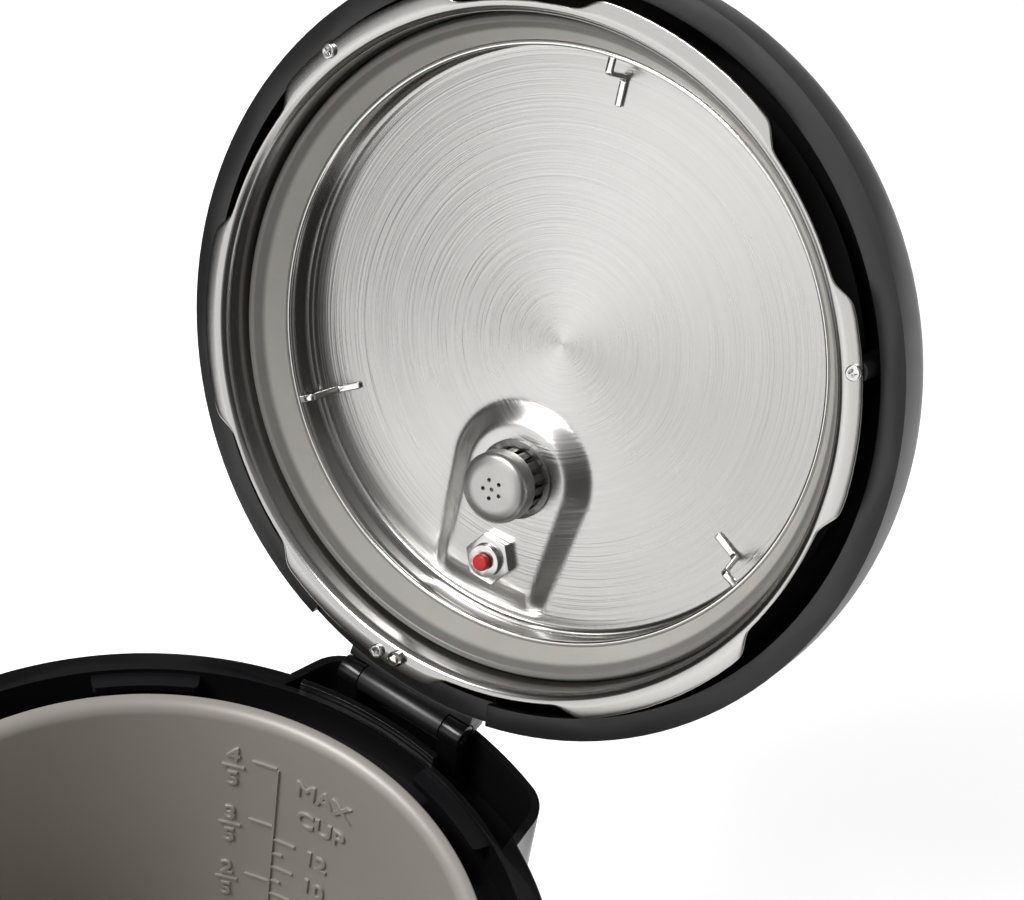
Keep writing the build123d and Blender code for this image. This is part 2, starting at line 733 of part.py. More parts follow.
# Deep-drawn steel lid: lugged flange, skirt, step over the sealing ring, and a slightly domed disc.
wall_r = skirt_r - step_w
lug_low_h = -lug_drop - lug_t
top_h = disc_h + disc_rise
with BuildPart() as lid_liner:
    with BuildSketch(lid_section) as liner_section:
        with BuildLine():
            ThreePointArc((0, top_h), (wall_r / 2, top_h - disc_rise * 0.25), (wall_r, disc_h))
            Polyline((wall_r, disc_h), (wall_r, shelf_h), (skirt_r, shelf_h), (skirt_r, lug_low_h))
            Polyline(
                (skirt_r, lug_low_h),
                (skirt_r + liner_t, lug_low_h),
                (skirt_r + liner_t, shelf_h + liner_t),
                (wall_r + liner_t, shelf_h + liner_t),
                (wall_r + liner_t, disc_h + liner_t),
                (wall_r, disc_h + liner_t),
            )
            ThreePointArc(
                (wall_r, disc_h + liner_t),
                (wall_r / 2, top_h - disc_rise * 0.25 + liner_t),
                (0, top_h + liner_t),
            )
            Line((0, top_h + liner_t), (0, top_h))
        make_face()
    revolve(axis=lid_axis)
    with BuildSketch(lid.offset(lug_low_h)) as lug_sketch:
        Circle(notch_r)
        with PolarLocations(0, lug_count, start_angle=90 + lug_phase):
            add(sector(skirt_r, lug_r, lug_deg))
        Circle(skirt_r + 0.1, mode=Mode.SUBTRACT)
        tips = lug_sketch.vertices().filter_by(
            lambda v: abs((v.X**2 + v.Y**2) ** 0.5 - lug_r) < 0.5
        )
        fillet(tips, 3.0)
    extrude(amount=lug_t)
    with BuildSketch(lid.offset(platform_h)):
        with Locations(vent_line):
            add(platform(0))
    extrude(amount=disc_h + 0.6 - platform_h)
    with BuildSketch(lid.offset(platform_h + liner_t)):
        with Locations(vent_line):
            add(platform(liner_t))
    extrude(amount=12, mode=Mode.SUBTRACT)
    with BuildSketch(lid.offset(platform_h)):
        with Locations(vent_place):
            Circle(pipe_r)
        with Locations(float_place):
            Circle(stem_r + 0.8)
    extrude(amount=12, mode=Mode.SUBTRACT)
    with BuildSketch(lid.offset(lug_low_h)):
        with PolarLocations(screw_at_r, 3, start_angle=90 + screw_phase):
            Circle(screw_r)
        with Locations(stud_place):
            Circle(stud_r)
    extrude(amount=lug_t, mode=Mode.SUBTRACT)
finish(lid_liner, "lid_liner")

# Riveted steel stud in the lug beside the hinge, which works the lid switch.
with BuildPart() as lid_stud:
    with BuildSketch(lid.offset(lug_low_h)):
        with Locations(stud_place):
            Circle(stud_r)
    extrude(amount=lug_t)
    with BuildSketch(lid.offset(lug_low_h - stud_h)):
        with Locations(stud_place):
            Circle(stud_r)
    extrude(amount=stud_h)
    low_edge = lid_stud.edges().filter_by(GeomType.CIRCLE).sort_by(lid_axis)[0]
    fillet(low_edge, stud_r * 0.8)
finish(lid_stud, "lid_stud")

# Silicone sealing ring under the step, with a lip that lies on the pot's flange.
seal_in = wall_r + liner_t - 0.8
seal_low = 0.6
with BuildPart() as sealing_ring:
    with BuildSketch(lid_section):
        with BuildLine():
            Polyline(
                (seal_in, shelf_h),
                (seal_in, shelf_h - 4),
                (seal_in + 6.5, seal_low),
                (seal_in + 8.6, seal_low),
                (skirt_r - 0.2, seal_low + 3),
                (skirt_r - 0.2, shelf_h),
                (skirt_r - 2.6, shelf_h),
                (skirt_r - 2.6, seal_low + 5),
                (seal_in + 6.4, seal_low + 5),
                (seal_in + 2.6, shelf_h - 3),
                (seal_in + 2.6, shelf_h),
                close=True,
            )
        make_face()
    revolve(axis=lid_axis)
finish(sealing_ring, "sealing_ring")

# Wire rack that holds the sealing ring in, and the three bent clips that carry it.
rack_r = seal_in - rack_wire - 0.05
with BuildPart() as seal_rack:
    with BuildSketch(lid_section):
        with Locations((rack_r, rack_h)):
            Circle(rack_wire)
    revolve(axis=lid_axis)
finish(seal_rack, "seal_rack")

clip_tip = wall_r - 19.8
clip_root = rack_r - rack_wire - 0.05
with BuildPart() as clip:
    with BuildSketch(Plane.XZ.offset(-1.1)):
        with BuildLine():
            Polyline(
                (clip_root, rack_h - 1.1),
                (clip_root - 6.2, rack_h - 1.1),
                (clip_root - 8.6, disc_h - 1.6),
                (clip_tip, disc_h - 1.2),
                (clip_tip, disc_h + 0.15),
                (clip_root - 6.6, disc_h - 0.1),
                (clip_root - 4.6, rack_h + 1.1),
                (clip_root, rack_h + 1.1),
                close=True,
            )
        make_face()
    extrude(amount=2.2)
    fillet(clip.edges().filter_by(Axis.Y), 0.5)
with BuildPart() as rack_clips:
    for turn in (-96, 24, 144):
        with Locations(lid.location * Location((0, 0, 0), (0, 0, turn))):
            add(clip.part)
finish(rack_clips, "rack_clips")

# Steam pipe through the platform, with the nut that clamps it.
pipe_top = dome_h + 8.0
with BuildPart() as steam_pipe:
    with BuildSketch(lid.offset(platform_h - 6)):
        with Locations(vent_place):
            Circle(pipe_r)
            Circle(2, mode=Mode.SUBTRACT)
    extrude(amount=pipe_top - platform_h + 6)
finish(steam_pipe, "steam_pipe")

with BuildPart() as steam_pipe_nut:
    with BuildSketch(lid.offset(platform_h + liner_t)):
        with Locations(vent_place):
            RegularPolygon(8.5, 6, major_radius=False)
            Circle(pipe_r, mode=Mode.SUBTRACT)
    extrude(amount=5)
finish(steam_pipe_nut, "steam_pipe_nut")

# Anti-block filter over the pipe's inner end: slotted base with a flange, and a cap with six holes.
filter_top = 14.0
filter_low = 5.5
with BuildPart() as filter_base:
    with BuildSketch(lid.offset(platform_h)):
        with Locations(vent_place):
            Circle(15)
            Circle(pipe_r, mode=Mode.SUBTRACT)
    extrude(amount=-1.4)
    with BuildSketch(lid.offset(platform_h - 1.4)):
        with Locations(vent_place):
            Circle(12.6)
            Circle(10.4, mode=Mode.SUBTRACT)
            with PolarLocations(12, 16):
                Rectangle(5, 2, mode=Mode.SUBTRACT)
    extrude(amount=filter_top - platform_h + 1.4)
    with BuildSketch(lid.offset(filter_top)):
        with Locations(vent_place):
            Circle(12.6)
            Circle(10.4, mode=Mode.SUBTRACT)
    extrude(amount=1)
finish(filter_base, "filter_base")

with BuildPart() as filter_cap:
    with BuildSketch(lid.offset(filter_low)):
        with Locations(vent_place):
            Circle(13.4)
    extrude(amount=filter_top - filter_low)
    fillet(filter_cap.edges().filter_by(GeomType.CIRCLE).sort_by(lid_axis)[0], 2.2)
    with BuildSketch(lid.offset(filter_low + 1.4)):
        with Locations(vent_place):
            Circle(11.8)
    extrude(amount=filter_top - filter_low, mode=Mode.SUBTRACT)
    with BuildSketch(lid.offset(filter_low)):
        with Locations(vent_place):
            Circle(0.8)
            with PolarLocations(3.6, 5):
                Circle(0.8)
    extrude(amount=3, mode=Mode.SUBTRACT)
finish(filter_cap, "filter_cap")

# Float valve: hexagon nut on the platform, sliding stem and its silicone gasket.
nut_h = 4.0
nut_collar = 3.0
with BuildPart() as float_nut:
    with BuildSketch(lid.offset(platform_h)):
        with Locations(float_place):
            RegularPolygon(8.5, 6, major_radius=False)
            Circle(stem_r + 0.3, mode=Mode.SUBTRACT)
    extrude(amount=-nut_h)
    with BuildSketch(lid.offset(platform_h - nut_h)):
        with Locations(float_place):
            Circle(6.3)
            Circle(stem_r + 0.3, mode=Mode.SUBTRACT)
    extrude(amount=-nut_collar)
finish(float_nut, "float_nut")

float_face = platform_h - nut_h - nut_collar - part_gap
with BuildPart() as float_stem:
    with BuildSketch(lid.offset(float_face)):
        with Locations(float_place):
            Circle(stem_r)
    extrude(amount=float_top - float_face)
finish(float_stem, "float_stem")

with BuildPart() as float_gasket:
    with BuildSketch(lid.offset(float_face)):
        with Locations(float_place):
            Circle(3.2)
    extrude(amount=-2.6)
    fillet(float_gasket.edges().filter_by(GeomType.CIRCLE).sort_by(lid_axis)[0], 1)
finish(float_gasket, "float_gasket")

# Black moulded cover over the steel lid, with three screw bosses that stand on the lugs.
cover_low = -cover_drop
shoulder_x = cover_r - shoulder_r
shoulder_top = cover_side + shoulder_r


def dome_section(depth):
    """The region under the cover's outer face, moved in by depth."""
    side = cover_r - depth
    arc = shoulder_r - depth
    slant = arc * 0.7071
    crown = dome_h - depth
    brow = cover_side + arc
    with BuildSketch(mode=Mode.PRIVATE) as region:
        with BuildLine():
            Polyline((0, crown), (0, cover_low), (side, cover_low), (side, cover_side))
            ThreePointArc((side, cover_side), (shoulder_x + slant, cover_side + slant), (shoulder_x, brow))
            ThreePointArc((shoulder_x, brow), (shoulder_x / 2, brow + (crown - brow) * 0.76), (0, crown))
        make_face()
    return region.sketch


notch_deg = 34.0
notch_rise = 3.5
boss_r = 3.9
with BuildPart() as lid_cover:
    with BuildSketch(lid_section):
        add(dome_section(0))
    revolve(axis=lid_axis)
    with BuildSketch(lid_section):
        add(dome_section(skin))
    revolve(axis=lid_axis, mode=Mode.SUBTRACT)
    with BuildSketch(lid.offset(cover_low)):
        Circle(cover_r - 0.5)
        Circle(cover_r - rim_in, mode=Mode.SUBTRACT)
    extrude(amount=skin)
    with BuildSketch(lid.offset(cover_low)):
        with Locations(Location((0, 0), 92.5)):
            add(sector(cover_r - rim_in - 1, cover_r + 1, notch_deg))
    extrude(amount=notch_rise, mode=Mode.SUBTRACT)
    with BuildSketch(lid.offset(cover_low + notch_rise)):
        with Locations(Location((0, 0), 92.5)):
            add(sector(cover_r - rim_in, cover_r - 0.5, notch_deg + 2))
    extrude(amount=skin)
    with BuildSketch(lid.offset(-lug_drop)):
        with PolarLocations(screw_at_r, 3, start_angle=90 + screw_phase):
            Circle(boss_r)
    extrude(amount=lug_drop + cover_side + 15)
    with BuildSketch(lid.offset(-lug_drop)):
        with PolarLocations(screw_at_r, 3, start_angle=90 + screw_phase):
            Circle(screw_r)
    extrude(amount=12, mode=Mode.SUBTRACT)
    with BuildSketch(lid.offset(cover_side)):
        with Locations(vent_place):
            Circle(pipe_r + 0.5)
        with Locations(float_place):
            Circle(stem_r + 1)
    extrude(amount=50, mode=Mode.SUBTRACT)
finish(lid_cover, "lid_cover")

with BuildPart() as cover_screws:
    with BuildSketch(lid.offset(lug_low_h - 1.6)):
        with PolarLocations(screw_at_r, 3, start_angle=90 + screw_phase):
            Circle(2.7)
    extrude(amount=1.6)
    fillet(cover_screws.edges().filter_by(GeomType.CIRCLE).group_by(lid_axis)[0], 0.6)
    with BuildSketch(lid.offset(lug_low_h)):
        with PolarLocations(screw_at_r, 3, start_angle=90 + screw_phase):
            Circle(screw_r)
    extrude(amount=lug_t + 11)
    with BuildSketch(lid.offset(lug_low_h - 1.6)):
        with PolarLocations(screw_at_r, 3, start_angle=90 + screw_phase):
            Rectangle(3, 0.7)
            Rectangle(0.7, 3)
    extrude(amount=0.9, mode=Mode.SUBTRACT)
finish(cover_screws, "cover_screws")

# Arched handle on the cover, with room for the fingers under it.
handle_half = 16.0
handle_front = -80.0
handle_back = 22.0
handle_top = dome_h + 28.0
with BuildPart() as lid_handle:
    with BuildSketch(lid_side.offset(-handle_half)):
        with BuildLine():
            Polyline(
                (handle_front, 30),
                (handle_front + 16, handle_top),
                (handle_back - 16, handle_top),
                (handle_back, 30),
                close=True,
            )
        make_face()
        with BuildLine():
            Polyline(
                (handle_front + 17, 30),
                (handle_front + 26, handle_top - 9),
                (handle_back - 26, handle_top - 9),
                (handle_back - 17, 30),
                close=True,
            )
        make_face(mode=Mode.SUBTRACT)
    extrude(amount=2 * handle_half)
    with BuildSketch(lid_section):
        add(dome_section(0))
    revolve(axis=lid_axis, mode=Mode.SUBTRACT)
    fillet(lid_handle.edges().filter_by(Axis(lid_origin, tangent)).group_by(lid_axis)[-1], 8)
finish(lid_handle, "lid_handle")

# Steam release knob that sits over the pipe.
knob_r = 18.0
knob_low = dome_h + 0.5
with BuildPart() as steam_knob:
    with BuildSketch(lid.offset(knob_low)):
        with Locations(vent_place):
            Circle(knob_r)
    extrude(amount=14)
    with BuildSketch(lid.offset(knob_low + 14)):
        with Locations(vent_place):
            SlotOverall(2 * knob_r, 10, rotation=90)
    extrude(amount=9)
    with BuildSketch(lid.offset(knob_low)):
        with Locations(vent_place):
            Circle(pipe_r + 0.3)
    extrude(amount=pipe_top - knob_low + 1, mode=Mode.SUBTRACT)
finish(steam_knob, "steam_knob")

# Hinge arm: a block on the back of the cover whose barrel turns on the hinge pin.
bore_r = pin_r + pin_gap
arm_low = cover_low + notch_rise
with BuildPart() as hinge_arm:
    with BuildSketch(lid_side.offset(-arm_w / 2)):
        with BuildLine():
            Polyline(
                (cover_r - 4, arm_low),
                (hinge_reach, arm_low),
                (hinge_reach + 0.5, hinge_rise + 7),
                (hinge_reach - 2, cover_side + 1),
                (cover_r - 4, cover_side),
                close=True,
            )
        make_face()
    extrude(amount=arm_w)
    with BuildSketch(lid_section):
        add(dome_section(0))
    revolve(axis=lid_axis, mode=Mode.SUBTRACT)
    for side in (-1, 1):
        with BuildSketch(lid_side.offset(side * (knuckle_in - 0.4))):
            with Locations((hinge_reach, hinge_rise)):
                Circle(knuckle_r + 0.5)
        extrude(amount=side * arm_w, mode=Mode.SUBTRACT)
    with BuildSketch(lid_side.offset(-barrel_w / 2)):
        with Locations((hinge_reach, hinge_rise)):
            Circle(knuckle_r)
    extrude(amount=barrel_w)
    with BuildSketch(lid_side.offset(-arm_w)):
        with Locations((hinge_reach, hinge_rise)):
            Circle(bore_r)
    extrude(amount=2 * arm_w, mode=Mode.SUBTRACT)
finish(hinge_arm, "hinge_arm")
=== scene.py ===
import json
import math

import bpy
from mathutils import Matrix, Vector, noise


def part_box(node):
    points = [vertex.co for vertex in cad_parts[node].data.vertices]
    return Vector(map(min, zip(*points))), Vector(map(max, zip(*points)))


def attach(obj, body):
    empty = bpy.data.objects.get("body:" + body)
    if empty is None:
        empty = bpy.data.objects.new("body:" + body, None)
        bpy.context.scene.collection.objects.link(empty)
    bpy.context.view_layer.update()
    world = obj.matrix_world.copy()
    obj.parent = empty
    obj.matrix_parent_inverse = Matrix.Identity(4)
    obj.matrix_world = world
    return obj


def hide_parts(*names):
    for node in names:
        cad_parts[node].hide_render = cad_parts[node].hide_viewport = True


# An electric pressure cooker with its lid open. Everything is in metres in the cooker's own frame, except
# that the sections and outlines of turned and cut pieces are written in millimetres.

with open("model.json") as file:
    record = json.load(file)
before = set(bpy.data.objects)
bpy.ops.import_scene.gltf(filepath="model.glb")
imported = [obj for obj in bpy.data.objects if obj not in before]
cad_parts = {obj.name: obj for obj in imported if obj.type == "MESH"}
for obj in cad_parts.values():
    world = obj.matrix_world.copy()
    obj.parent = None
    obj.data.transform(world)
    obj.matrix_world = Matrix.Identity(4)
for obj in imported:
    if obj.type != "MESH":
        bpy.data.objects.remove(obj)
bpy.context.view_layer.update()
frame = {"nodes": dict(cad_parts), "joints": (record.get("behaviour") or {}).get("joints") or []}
nodes = frame["nodes"]
joints = {joint["name"]: joint for joint in frame["joints"]}

# ---------------------------------------------------------------- Studio
# A pale table top, a tall softbox in front, one above it and a weak fill at the left, all plain and soft.
# Two black flags beside the cooker give its bright metal something dark to reflect, and show nowhere else.
# The camera stands in front to the right and above, looking down into the open lid.
scene = bpy.context.scene
scene.view_settings.view_transform = "Standard"


class Wire:
    """One shader socket. Arithmetic on it adds Math nodes, and node() adds any other node."""

    def __init__(self, socket):
        self.socket = socket

    def node(self, kind, settings=None, sockets=None, output=0):
        """A new node with its settings first and then its sockets' values or links."""
        tree = self.socket.id_data
        made = tree.nodes.new("ShaderNode" + kind)
        for key, value in (settings or {}).items():
            setattr(made, key, value)
        for key, value in (sockets or {}).items():
            if isinstance(value, Wire):
                tree.links.new(value.socket, made.inputs[key])
            else:
                made.inputs[key].default_value = value
        return Wire(made.outputs[output])

    def math(self, operation, *values):
        return self.node("Math", {"operation": operation}, dict(enumerate(values)))

    def __add__(self, other):
        return self.math("ADD", self, other)

    __radd__ = __add__

    def __sub__(self, other):
        return self.math("SUBTRACT", self, other)

    def __rsub__(self, other):
        return self.math("SUBTRACT", other, self)

    def __mul__(self, other):
        return self.math("MULTIPLY", self, other)

    __rmul__ = __mul__

    def __truediv__(self, other):
        return self.math("DIVIDE", self, other)

    def __rtruediv__(self, other):
        return self.math("DIVIDE", other, self)

    def __pow__(self, other):
        return self.math("POWER", self, other)

    def parts(self):
        """The three numbers of a vector."""
        split = self.node("SeparateXYZ", None, {0: self})
        return [Wire(out) for out in split.socket.node.outputs]

    def noise(self, scale, detail=3.0, rough=0.55):
        """Noise of this vector, 0 to 1."""
        sockets = {"Vector": self, "Scale": scale, "Detail": detail, "Roughness": rough}
        return self.node("TexNoise", None, sockets)

    def ramp(self, low, high, start=0.0, end=1.0):
        """The value carried smoothly from start at low to end at high."""
        ways = {"interpolation_type": "SMOOTHSTEP"}
        return self.node("MapRange", ways, {0: self, 1: low, 2: high, 3: start, 4: end})

    def tint(self, first, second):
        """first where the value is 0, second where it is 1."""
        return self.node("Mix", {"data_type": "RGBA"}, {0: self, 6: first, 7: second}, 2)

    def bump(self, distance, strength=1.0):
        """A normal from this height, in metres per unit."""
        return self.node("Bump", None, {"Height": self, "Distance": distance, "Strength": strength})


def material_of(name, **constants):
    """A Principled material with its constant sockets set, its shader, and its Object coordinates."""
    material = bpy.data.materials.new(name)
    material.use_nodes = True
    shader = material.node_tree.nodes["Principled BSDF"]
    for key, value in constants.items():
        shader.inputs[key.replace("_", " ")].default_value = value
    return material, shader, Wire(material.node_tree.nodes.new("ShaderNodeTexCoord").outputs["Object"])


def feed(shader, **wires):
    """Links what varies over the surface to the shader."""
    for key, wire in wires.items():
        wire.socket.id_data.links.new(wire.socket, shader.inputs[key.replace("_", " ")])


def grey(level, alpha=1.0):
    return (level, level, level, alpha)


def lamp(name, place, aim, size, power):
    """A rectangular softbox."""
    light = bpy.data.lights.new(name, "AREA")
    light.shape = "RECTANGLE"
    light.size, light.size_y = size
    light.energy = power
    box = bpy.data.objects.new(name, light)
    scene.collection.objects.link(box)
    box.location = place
    box.rotation_euler = (Vector(aim) - Vector(place)).to_track_quat("-Z", "Y").to_euler()


lamp("front_softbox", (-0.55, -2.2, 0.85), (0, 0.15, 0.35), (1.3, 1.7), 8)
lamp("top_strip", (-0.5, -1.0, 1.8), (0, 0.1, 0.2), (0.9, 0.6), 30)
lamp("left_fill", (-1.9, 0.6, 1.1), (0, 0.1, 0.2), (0.7, 1.0), 6)

world = bpy.data.worlds.new("studio")
scene.world = world
world.use_nodes = True
world.node_tree.nodes["Background"].inputs["Color"].default_value = grey(1.0)
world.node_tree.nodes["Background"].inputs["Strength"].default_value = 0.3

table_white, table_shader, spot = material_of("table_white", Roughness=0.6)
feed(table_shader, Base_Color=spot.noise(2.0).tint(grey(0.90), grey(0.94)))
feed(table_shader, Emission_Color=spot.noise(2.0).tint(grey(0.90), grey(0.94)))
table_shader.inputs["Emission Strength"].default_value = 0.7

bpy.ops.object.select_all(action="DESELECT")
bpy.ops.mesh.primitive_circle_add(vertices=96, radius=7.0, fill_type="NGON", location=(0, 0, -0.0005))
table = bpy.context.object
table.name = "table_top"
bpy.ops.object.mode_set(mode="EDIT")
bpy.ops.mesh.inset(thickness=0.3)
bpy.ops.object.mode_set(mode="OBJECT")
bpy.ops.object.transform_apply(location=True)
table.data.materials.append(table_white)

flag_black, flag_shader, spot = material_of("flag_black", Roughness=0.9)
feed(flag_shader, Base_Color=spot.noise(2.0).tint(grey(0.012), grey(0.02)))
flags = (("right_flag", (0.7, -0.95, 0.65), 1.9, 1.3), ("left_flag", (-0.5, -0.15, 0.4), 1.2, 0.8))
for name, place, width, height in flags:
    bpy.ops.object.select_all(action="DESELECT")
    bpy.ops.mesh.primitive_plane_add(size=1, location=place, rotation=(math.pi / 2, 0, math.pi / 2))
    flag = bpy.context.object
    flag.name = name
    flag.scale = (width, height, 1)
    bpy.ops.object.transform_apply(location=True, rotation=True, scale=True)
    flag.data.materials.append(flag_black)
    flag.visible_camera = False
    flag.visible_diffuse = False
    flag.visible_shadow = False

camera_place = Vector((0.3143, -0.3005, 0.8492))
heading, tilt, roll = (math.radians(angle) for angle in (-33.93, 40.88, 9.53))
camera_data = bpy.data.cameras.new("camera")
camera_data.lens = 76.46
camera_data.clip_end = 50
camera = bpy.data.objects.new("camera", camera_data)
scene.collection.objects.link(camera)
camera.matrix_world = (
    Matrix.Translation(camera_place)
    @ Matrix.Rotation(-heading, 4, "Z")
    @ Matrix.Rotation(math.pi / 2 - tilt, 4, "X")
    @ Matrix.Rotation(roll, 4, "Z")
)
scene.camera = camera

# ---------------------------------------------------------------- Base, bottom plate and foot
# The black moulded base carries everything and closes the cooker from below. A steel plate with the power
# board screws up into it, and a rubber ring under it stands on the table.


def dress(piece, body, slot, material, *replaced, smooth=40):
    """Applies a piece's modifiers, smooths it, gives it its finish, and hangs it on its body."""
    bpy.ops.object.select_all(action="DESELECT")
    piece.select_set(True)
    bpy.context.view_layer.objects.active = piece
    for modifier in list(piece.modifiers):
        bpy.ops.object.modifier_apply(modifier=modifier.name)
    bpy.ops.object.transform_apply(location=True, rotation=True, scale=True)
    bpy.ops.object.shade_smooth_by_angle(angle=math.radians(smooth))
    piece.data.materials.clear()
    piece.data.materials.append(material)
    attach(piece, body)
    if replaced:
        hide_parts(*replaced)
    return piece


def refined(node, width, body, slot, material, sharp=35, segments=3):
    """A copy of a CAD node with its triangles merged into whole faces and its edges rounded."""
    piece = bpy.data.objects.new(node + "_body", nodes[node].data.copy())
    scene.collection.objects.link(piece)
    bpy.ops.object.select_all(action="DESELECT")
    piece.select_set(True)
    bpy.context.view_layer.objects.active = piece
    bpy.ops.object.mode_set(mode="EDIT")
    bpy.ops.mesh.select_all(action="SELECT")
    bpy.ops.mesh.remove_doubles(threshold=1e-5)
    bpy.ops.mesh.dissolve_limited(angle_limit=math.radians(1.0))
    bpy.ops.object.mode_set(mode="OBJECT")
    bevel = piece.modifiers.new("eased", "BEVEL")
    bevel.width = width
    bevel.segments = segments
    bevel.angle_limit = math.radians(sharp)
    return dress(piece, body, slot, material, node)


def coat(material, *names):
    """Gives CAD nodes their finish."""
    for name in names:
        nodes[name].data.materials.clear()
        nodes[name].data.materials.append(material)
        for face in nodes[name].data.polygons:
            face.material_index = 0


def moulded(name, tone, rough, grain, pit=0.00002, **constants):
    """Moulded plastic or rubber: a fine grain, and a tone and gloss that wander a little."""
    material, shader, spot = material_of(name, **constants)
    wander = spot.noise(14.0)
    fine = spot.noise(grain, 2.0)
    dark = tuple(0.85 * level for level in tone) + (1,)
    pale = tuple(1.2 * level for level in tone) + (1,)
    feed(shader, Base_Color=wander.tint(dark, pale))
    feed(shader, Roughness=rough + 0.12 * (wander - 0.5) + 0.08 * (fine - 0.5))
    feed(shader, Normal=fine.bump(pit))
    return material


gloss_black = moulded("gloss_black", (0.006, 0.006, 0.0065), 0.2, 900.0, 0.000004, Specular_IOR_Level=0.35)
matt_black = moulded("matt_black", (0.02, 0.02, 0.021), 0.48, 1600.0)
black_rubber = moulded("black_rubber", (0.014, 0.014, 0.014), 0.7, 1200.0)
refined("base_shell", 0.0008, "base", "black_plastic", matt_black)
refined("foot_ring", 0.0006, "base", "rubber", black_rubber)


def metal(name, tone, rough, grain, pit, across=(1, 1, 1), **constants):
    """Bare metal whose grain is drawn out along the smaller entries of across."""
    material, shader, spot = material_of(name, Metallic=1.0, **constants)
    drawn = spot.node("Mapping", None, {"Vector": spot, "Scale": across})
    fine = drawn.noise(grain, 2.0)
    wander = spot.noise(20.0)
    dark = tuple(0.82 * level for level in tone) + (1,)
    pale = tuple(min(1.0, 1.08 * level) for level in tone) + (1,)
    feed(shader, Base_Color=(0.6 * fine + 0.4 * wander).tint(dark, pale))
    feed(shader, Roughness=rough + 0.16 * (fine - 0.5) + 0.1 * (wander - 0.5))
    feed(shader, Normal=fine.bump(pit))
    return material


rolled_steel = metal("rolled_steel", (0.56, 0.55, 0.53), 0.34, 700.0, 0.00001, (1, 0.06, 1))
zinc_plate = metal("zinc_plate", (0.62, 0.61, 0.60), 0.22, 900.0, 0.000005)
coat(rolled_steel, "bottom_plate", "sensor_bracket", "carriage_keeper")
coat(zinc_plate, "bottom_screws", "keeper_screws", "steam_pipe_nut")
coat(matt_black, "hinge_box_cover")

# ---------------------------------------------------------------- Brushed steel band
# The visible side is one strip of stainless sheet, brushed round its length, rolled and seamed.
band_steel, shader, spot = material_of("band_steel", Metallic=1.0, Anisotropic=0.5)
x, y, z = spot.parts()
around = spot.node("CombineXYZ", None, {0: x * 3.0, 1: y * 3.0, 2: z * 420.0})
brush = around.noise(6.0, 4.0, 0.7)
feed(shader, Base_Color=brush.tint((0.42, 0.41, 0.40, 1), (0.66, 0.65, 0.63, 1)))
feed(shader, Roughness=0.26 + 0.2 * brush, Normal=brush.bump(0.00003))
refined("outer_housing", 0.0002, "base", "steel", band_steel)

# ---------------------------------------------------------------- Heater, chamber and sensor
# Inside the base hangs a spun steel chamber with the cast heating plate on its floor. The capped sensor in
# the plate's middle is pushed up against the pot by a coil spring in a pressed bracket.
cast_aluminium = metal("cast_aluminium", (0.52, 0.52, 0.51), 0.45, 500.0, 0.00006)
spun_steel = metal("spun_steel", (0.50, 0.49, 0.48), 0.30, 900.0, 0.00001, (0.08, 0.08, 1))
bright_wire = metal("bright_wire", (0.74, 0.73, 0.71), 0.14, 600.0, 0.000004, (1, 1, 0.1))
coat(cast_aluminium, "heating_plate")
coat(spun_steel, "outer_pot", "temperature_sensor")
coat(bright_wire, "sensor_spring", "steam_pipe", "float_stem", "hinge_pin")

ring_black = moulded("ring_black", (0.006, 0.006, 0.007), 0.34, 700.0, 0.000008, Specular_IOR_Level=0.3)
coat(ring_black, "locking_ring")

# ---------------------------------------------------------------- Boards, inlet and pins
# Two coated circuit boards, one over the bottom plate and one behind the panel, and the moulded inlet at
# the back with its three brass contacts.
board, shader, spot = material_of("board", Coat_Weight=0.3)
lines = spot.node("TexVoronoi", {"feature": "DISTANCE_TO_EDGE"}, {"Vector": spot, "Scale": 220.0})
copper = lines.ramp(0.02, 0.06)
feed(shader, Base_Color=copper.tint((0.25, 0.36, 0.12, 1), (0.02, 0.11, 0.045, 1)))
feed(shader, Roughness=0.3 + 0.15 * spot.noise(300.0), Normal=copper.bump(-0.00003))
brass = metal("brass", (0.72, 0.55, 0.26), 0.24, 800.0, 0.000004)
coat(board, "power_board", "control_board")
coat(brass, "inlet_pins")
refined("power_inlet", 0.0004, "base", "dark_plastic", matt_black)

# ---------------------------------------------------------------- Control panel
# A black bezel clipped to the band, with a tinted window over the display and six soft-touch keys in two
# columns. Each key carries a small sign of plain strokes in relief.
tinted, shader, spot = material_of("tinted_window", Transmission_Weight=0.6, IOR=1.49)
haze = spot.noise(40.0)
feed(shader, Base_Color=haze.tint((0.02, 0.022, 0.026, 1), (0.035, 0.038, 0.044, 1)))
feed(shader, Roughness=0.06 + 0.08 * haze)
refined("panel_bezel", 0.0009, "base", "black_plastic", gloss_black)
refined("display_window", 0.0005, "base", "window", tinted)
key_rubber = moulded("key_rubber", (0.045, 0.045, 0.048), 0.5, 1400.0)
print_white = moulded("print_white", (0.7, 0.7, 0.7), 0.5, 900.0, 0.000002)
sign_length = 0.0056
sign_width = 0.001
sign_relief = 0.0005
